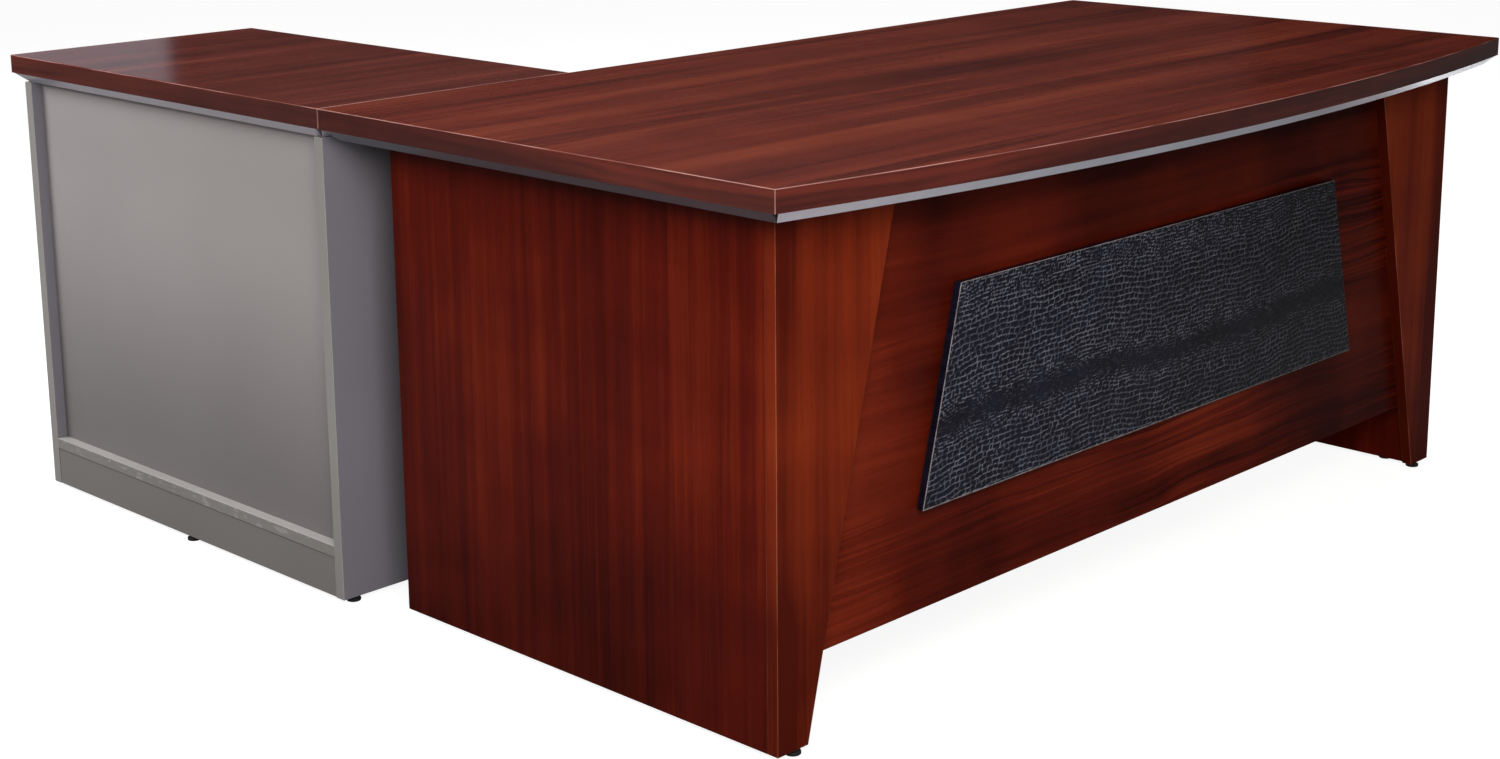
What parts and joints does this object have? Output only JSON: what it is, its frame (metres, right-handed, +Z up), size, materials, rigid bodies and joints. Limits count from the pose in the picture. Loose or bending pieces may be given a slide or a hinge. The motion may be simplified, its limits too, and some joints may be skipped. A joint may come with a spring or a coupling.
{
  "type": "corner desk",
  "caption": "L-shaped executive desk: bow-fronted wood-veneer main desk with a leather-faced modesty panel and a grey storage return with drawers and a cupboard.",
  "frame": {"origin": "on the floor, under the middle of the whole desk's bounding box", "axes": "+Z up; X along the main desk, the return at its -X end; the visitor sits towards -Y and the desk's user towards +Y; drawers open towards +X"},
  "size_m": [1.81, 1.854, 0.76],
  "materials": {
    "mahogany_top": "glossy stained veneer",
    "mahogany_return": "glossy stained veneer",
    "mahogany_panel": "satin stained veneer",
    "mahogany_modesty": "satin stained veneer",
    "core_board": "raw fibreboard",
    "silver_trim": "silver-grey foil",
    "black_board": "black painted board",
    "black_leather": "glossy reptile-embossed",
    "grey_laminate": "satin grey laminate on board",
    "drawer_board": "light grey wrapped board",
    "zinc_steel": "zinc plated",
    "bright_metal": "nickel plated",
    "satin_handle": "satin nickel",
    "black_plastic": "matte"
  },
  "bodies": {
    "desk": {"angle_brackets": "zinc_steel", "bracket_screws": "zinc_steel", "cabinet_back": "grey_laminate", "cabinet_floor": "grey_laminate", "cabinet_partition": "grey_laminate", "cabinet_rails": "grey_laminate", "cabinet_shelf": "grey_laminate", "cabinet_side_far": "grey_laminate", "cabinet_side_near": "grey_laminate", "end_panel_left": "mahogany_panel", "end_panel_right": "mahogany_panel", "fascia_left": "mahogany_panel", "fascia_right": "mahogany_panel", "hinge_leaves_cabinet": "zinc_steel", "hinge_pins": "zinc_steel", "insert_backing": "black_board", "insert_board": "black_board", "insert_leather": "black_leather", "kickboard_inner": "grey_laminate", "kickboard_outer": "grey_laminate", "levelling_feet": "black_plastic", "main_subtop": "core_board", "main_top": "mahogany_top", "main_trim_front": "silver_trim", "main_trim_left": "silver_trim", "main_trim_rear": "silver_trim", "main_trim_right": "silver_trim", "modesty_panel": "mahogany_modesty", "return_subtop": "core_board", "return_top": "mahogany_return", "return_trim_far": "silver_trim", "return_trim_inner": "silver_trim", "return_trim_near": "silver_trim", "return_trim_outer": "silver_trim", "runner_outers": "zinc_steel", "shelf_pins": "zinc_steel"},
    "door": {"door_panel": "grey_laminate", "door_handle": "satin_handle", "hinge_leaves_door": "zinc_steel"},
    "lock": {"lock_plug": "bright_metal", "lock_cam": "zinc_steel"},
    "drawer_1": {"drawer_1_front": "grey_laminate", "drawer_1_wrap": "drawer_board", "drawer_1_base": "drawer_board", "drawer_1_handle": "satin_handle", "drawer_1_runner_inners": "zinc_steel", "lock_barrel": "bright_metal"},
    "runners_1": {"drawer_1_runner_middles": "zinc_steel"},
    "drawer_2": {"drawer_2_front": "grey_laminate", "drawer_2_wrap": "drawer_board", "drawer_2_base": "drawer_board", "drawer_2_handle": "satin_handle", "drawer_2_runner_inners": "zinc_steel"},
    "runners_2": {"drawer_2_runner_middles": "zinc_steel"},
    "drawer_3": {"drawer_3_front": "grey_laminate", "drawer_3_wrap": "drawer_board", "drawer_3_base": "drawer_board", "drawer_3_handle": "satin_handle", "drawer_3_runner_inners": "zinc_steel"},
    "runners_3": {"drawer_3_runner_middles": "zinc_steel"}
  },
  "joints": [
    {"name": "drawer_1_slide", "type": "slide", "parent": "desk", "child": "drawer_1", "axis": [1, 0, 0], "range_m": [0, 0.35]},
    {"name": "drawer_1_runner_slide", "type": "slide", "parent": "desk", "child": "runners_1", "axis": [1, 0, 0], "range_m": [0, 0.175]},
    {"name": "drawer_2_slide", "type": "slide", "parent": "desk", "child": "drawer_2", "axis": [1, 0, 0], "range_m": [0, 0.35]},
    {"name": "drawer_2_runner_slide", "type": "slide", "parent": "desk", "child": "runners_2", "axis": [1, 0, 0], "range_m": [0, 0.175]},
    {"name": "drawer_3_slide", "type": "slide", "parent": "desk", "child": "drawer_3", "axis": [1, 0, 0], "range_m": [0, 0.35]},
    {"name": "drawer_3_runner_slide", "type": "slide", "parent": "desk", "child": "runners_3", "axis": [1, 0, 0], "range_m": [0, 0.175]},
    {"name": "door_hinge", "type": "hinge", "parent": "desk", "child": "door", "pos_m": [-0.4581, 0.0607, 0.39], "axis": [0, 0, -1], "range_deg": [0, 105]},
    {"name": "lock_turn", "type": "hinge", "parent": "drawer_1", "child": "lock", "pos_m": [-0.45, 0.69875, 0.68], "axis": [1, 0, 0], "range_deg": [0, 90]}
  ],
  "couplings": [
    {"joint": "drawer_1_runner_slide", "follows": "drawer_1_slide", "ratio": 0.5},
    {"joint": "drawer_2_runner_slide", "follows": "drawer_2_slide", "ratio": 0.5},
    {"joint": "drawer_3_runner_slide", "follows": "drawer_3_slide", "ratio": 0.5}
  ]
}
